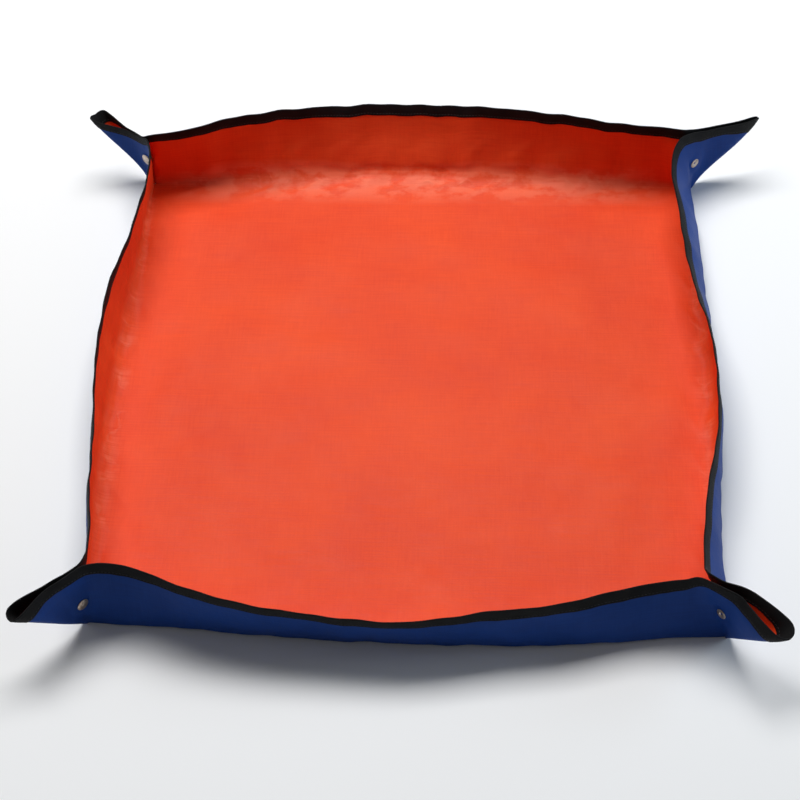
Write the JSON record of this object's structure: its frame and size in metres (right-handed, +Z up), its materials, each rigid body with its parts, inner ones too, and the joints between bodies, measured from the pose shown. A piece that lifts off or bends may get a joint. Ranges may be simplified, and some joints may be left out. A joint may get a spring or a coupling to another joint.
{
  "type": "folding tray",
  "caption": "Square fabric tray folded up from one flat two-colour sheet, with black edge tape and press-stud corner ears; the walls fold out flat.",
  "frame": {"origin": "middle of the floor's underside, on the surface the tray rests on", "axes": "+Z up out of the tray, +X and +Y along the walls, -Y towards the front wall"},
  "size_m": [0.6922, 0.6922, 0.083],
  "materials": {
    "coated_cloth": "glossy coated weave, red-orange inside and blue outside",
    "edge_tape": "ribbed woven binding tape",
    "snap_metal": "worn nickel plating",
    "spring_wire": "bright wire"
  },
  "bodies": {
    "floor": {"floor_panel": "coated_cloth"},
    "wall_front": {"wall_front": "coated_cloth", "edge_tape_wall_front": "edge_tape"},
    "ear_front_left": {"ear_front_left": "coated_cloth", "edge_tape_ear_front_left": "edge_tape", "snap_cap_front_left": "snap_metal", "snap_socket_front_left": "snap_metal", "snap_spring_front_left": "spring_wire"},
    "ear_front_right": {"ear_front_right": "coated_cloth", "edge_tape_ear_front_right": "edge_tape", "snap_stud_front_right": "snap_metal", "snap_eyelet_front_right": "snap_metal"},
    "wall_right": {"wall_right": "coated_cloth", "edge_tape_wall_right": "edge_tape"},
    "ear_right_front": {"ear_right_front": "coated_cloth", "edge_tape_ear_right_front": "edge_tape", "snap_cap_front_right": "snap_metal", "snap_socket_front_right": "snap_metal", "snap_spring_front_right": "spring_wire"},
    "ear_right_back": {"ear_right_back": "coated_cloth", "edge_tape_ear_right_back": "edge_tape", "snap_stud_back_right": "snap_metal", "snap_eyelet_back_right": "snap_metal"},
    "wall_back": {"wall_back": "coated_cloth", "edge_tape_wall_back": "edge_tape"},
    "ear_back_right": {"ear_back_right": "coated_cloth", "edge_tape_ear_back_right": "edge_tape", "snap_cap_back_right": "snap_metal", "snap_socket_back_right": "snap_metal", "snap_spring_back_right": "spring_wire"},
    "ear_back_left": {"ear_back_left": "coated_cloth", "edge_tape_ear_back_left": "edge_tape", "snap_stud_back_left": "snap_metal", "snap_eyelet_back_left": "snap_metal"},
    "wall_left": {"wall_left": "coated_cloth", "edge_tape_wall_left": "edge_tape"},
    "ear_left_back": {"ear_left_back": "coated_cloth", "edge_tape_ear_left_back": "edge_tape", "snap_cap_back_left": "snap_metal", "snap_socket_back_left": "snap_metal", "snap_spring_back_left": "spring_wire"},
    "ear_left_front": {"ear_left_front": "coated_cloth", "edge_tape_ear_left_front": "edge_tape", "snap_stud_front_left": "snap_metal", "snap_eyelet_front_left": "snap_metal"}
  },
  "joints": [
    {"name": "wall_front_fold", "type": "hinge", "parent": "floor", "child": "wall_front", "pos_m": [0, -0.292, 0.0003], "axis": [1, 0, 0], "range_deg": [0, 90]},
    {"name": "ear_front_left_fold", "type": "hinge", "parent": "wall_front", "child": "ear_front_left", "pos_m": [-0.289, -0.292, 0.0003], "axis": [0, 0, -1], "range_deg": [0, 48]},
    {"name": "ear_front_right_fold", "type": "hinge", "parent": "wall_front", "child": "ear_front_right", "pos_m": [0.289, -0.292, 0.0003], "axis": [0, 0, 1], "range_deg": [0, 48]},
    {"name": "wall_right_fold", "type": "hinge", "parent": "floor", "child": "wall_right", "pos_m": [0.292, 0, 0.0003], "axis": [0, 1, 0], "range_deg": [0, 90]},
    {"name": "ear_right_front_fold", "type": "hinge", "parent": "wall_right", "child": "ear_right_front", "pos_m": [0.292, -0.289, 0.0003], "axis": [0, 0, -1], "range_deg": [0, 48]},
    {"name": "ear_right_back_fold", "type": "hinge", "parent": "wall_right", "child": "ear_right_back", "pos_m": [0.292, 0.289, 0.0003], "axis": [0, 0, 1], "range_deg": [0, 48]},
    {"name": "wall_back_fold", "type": "hinge", "parent": "floor", "child": "wall_back", "pos_m": [0, 0.292, 0.0003], "axis": [-1, 0, 0], "range_deg": [0, 90]},
    {"name": "ear_back_right_fold", "type": "hinge", "parent": "wall_back", "child": "ear_back_right", "pos_m": [0.289, 0.292, 0.0003], "axis": [0, 0, -1], "range_deg": [0, 48]},
    {"name": "ear_back_left_fold", "type": "hinge", "parent": "wall_back", "child": "ear_back_left", "pos_m": [-0.289, 0.292, 0.0003], "axis": [0, 0, 1], "range_deg": [0, 48]},
    {"name": "wall_left_fold", "type": "hinge", "parent": "floor", "child": "wall_left", "pos_m": [-0.292, 0, 0.0003], "axis": [0, -1, 0], "range_deg": [0, 90]},
    {"name": "ear_left_back_fold", "type": "hinge", "parent": "wall_left", "child": "ear_left_back", "pos_m": [-0.292, 0.289, 0.0003], "axis": [0, 0, -1], "range_deg": [0, 48]},
    {"name": "ear_left_front_fold", "type": "hinge", "parent": "wall_left", "child": "ear_left_front", "pos_m": [-0.292, -0.289, 0.0003], "axis": [0, 0, 1], "range_deg": [0, 48]}
  ],
  "couplings": [
    {"joint": "ear_front_left_fold", "follows": "wall_front_fold", "ratio": 0.5333},
    {"joint": "ear_front_right_fold", "follows": "wall_front_fold", "ratio": 0.5333},
    {"joint": "wall_right_fold", "follows": "wall_front_fold", "ratio": 1},
    {"joint": "ear_right_front_fold", "follows": "wall_front_fold", "ratio": 0.5333},
    {"joint": "ear_right_back_fold", "follows": "wall_front_fold", "ratio": 0.5333},
    {"joint": "wall_back_fold", "follows": "wall_front_fold", "ratio": 1},
    {"joint": "ear_back_right_fold", "follows": "wall_front_fold", "ratio": 0.5333},
    {"joint": "ear_back_left_fold", "follows": "wall_front_fold", "ratio": 0.5333},
    {"joint": "wall_left_fold", "follows": "wall_front_fold", "ratio": 1},
    {"joint": "ear_left_back_fold", "follows": "wall_front_fold", "ratio": 0.5333},
    {"joint": "ear_left_front_fold", "follows": "wall_front_fold", "ratio": 0.5333}
  ]
}
